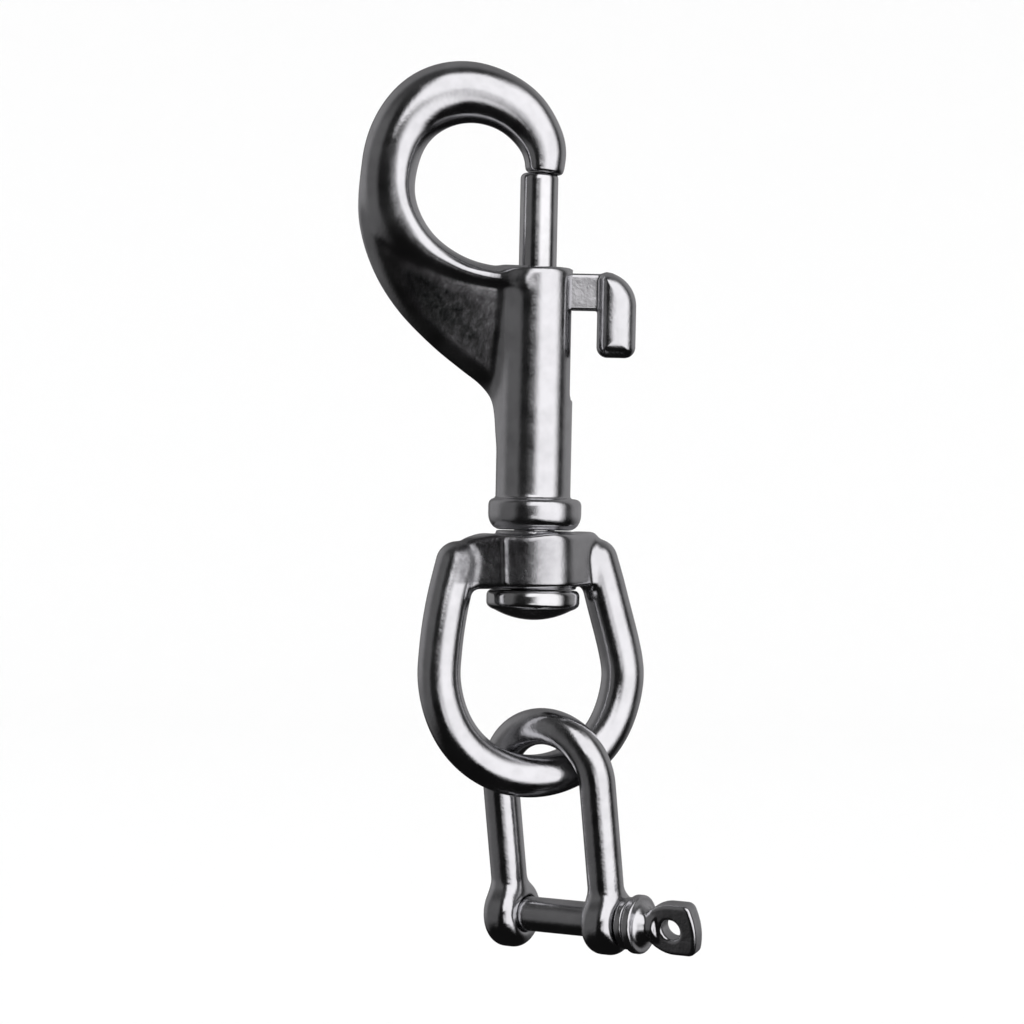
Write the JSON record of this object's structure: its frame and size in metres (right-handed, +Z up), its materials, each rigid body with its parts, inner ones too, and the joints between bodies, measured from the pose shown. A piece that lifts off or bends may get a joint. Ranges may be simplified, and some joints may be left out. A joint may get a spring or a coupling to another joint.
{
  "type": "swivel bolt snap with pin shackle",
  "caption": "Snap hook with a spring plunger worked by a thumb lever, a swivelling eye below it and a D-shackle with a removable pin.",
  "frame": {"origin": "inner top of the hook's eye, on its middle plane, where the snap is held", "axes": "+Z up along the barrel towards the hook, +X from the hook's back to its opening and thumb lever, +Y through the eye"},
  "size_m": [0.0491, 0.0217, 0.1223],
  "materials": {
    "hook_body": "cast stainless steel, polished on the bars and mottled on the web",
    "plunger_bolt": "turned stainless steel, polished",
    "thumb_lever": "cast stainless steel, tumbled",
    "plunger_spring": "drawn stainless spring wire",
    "swivel_stud": "turned stainless steel, polished head",
    "swivel_eye": "forged stainless steel, polished, mottled flats",
    "shackle_bow": "forged stainless steel, polished",
    "shackle_pin": "turned stainless steel with a fine thread at its end"
  },
  "bodies": {
    "hook": {"hook_body": "hook_body", "swivel_stud": "swivel_stud", "plunger_spring": "plunger_spring"},
    "plunger": {"plunger_bolt": "plunger_bolt", "thumb_lever": "thumb_lever"},
    "swivel": {"swivel_eye": "swivel_eye"},
    "shackle": {"shackle_bow": "shackle_bow"},
    "pin": {"shackle_pin": "shackle_pin"}
  },
  "joints": [
    {"name": "plunger_draw", "type": "slide", "parent": "hook", "child": "plunger", "axis": [0, 0, 1], "range_m": [-0.012, 0], "stiffness_N_per_m": 300, "springref_m": 0.012, "deforming": ["plunger_spring"]},
    {"name": "swivel_turn", "type": "hinge", "parent": "hook", "child": "swivel", "pos_m": [0.0098, 0, -0.06], "axis": [0, 0, 1], "continuous": true},
    {"name": "shackle_swing", "type": "hinge", "parent": "swivel", "child": "shackle", "pos_m": [0.0128, 0.00113, -0.08876], "axis": [0.8936, 0.3978, 0.2079], "range_deg": [-100, 100]},
    {"name": "pin_draw", "type": "slide", "parent": "shackle", "child": "pin", "axis": [0.844, -0.5364, -0.0064], "range_m": [0, 0.021]}
  ]
}
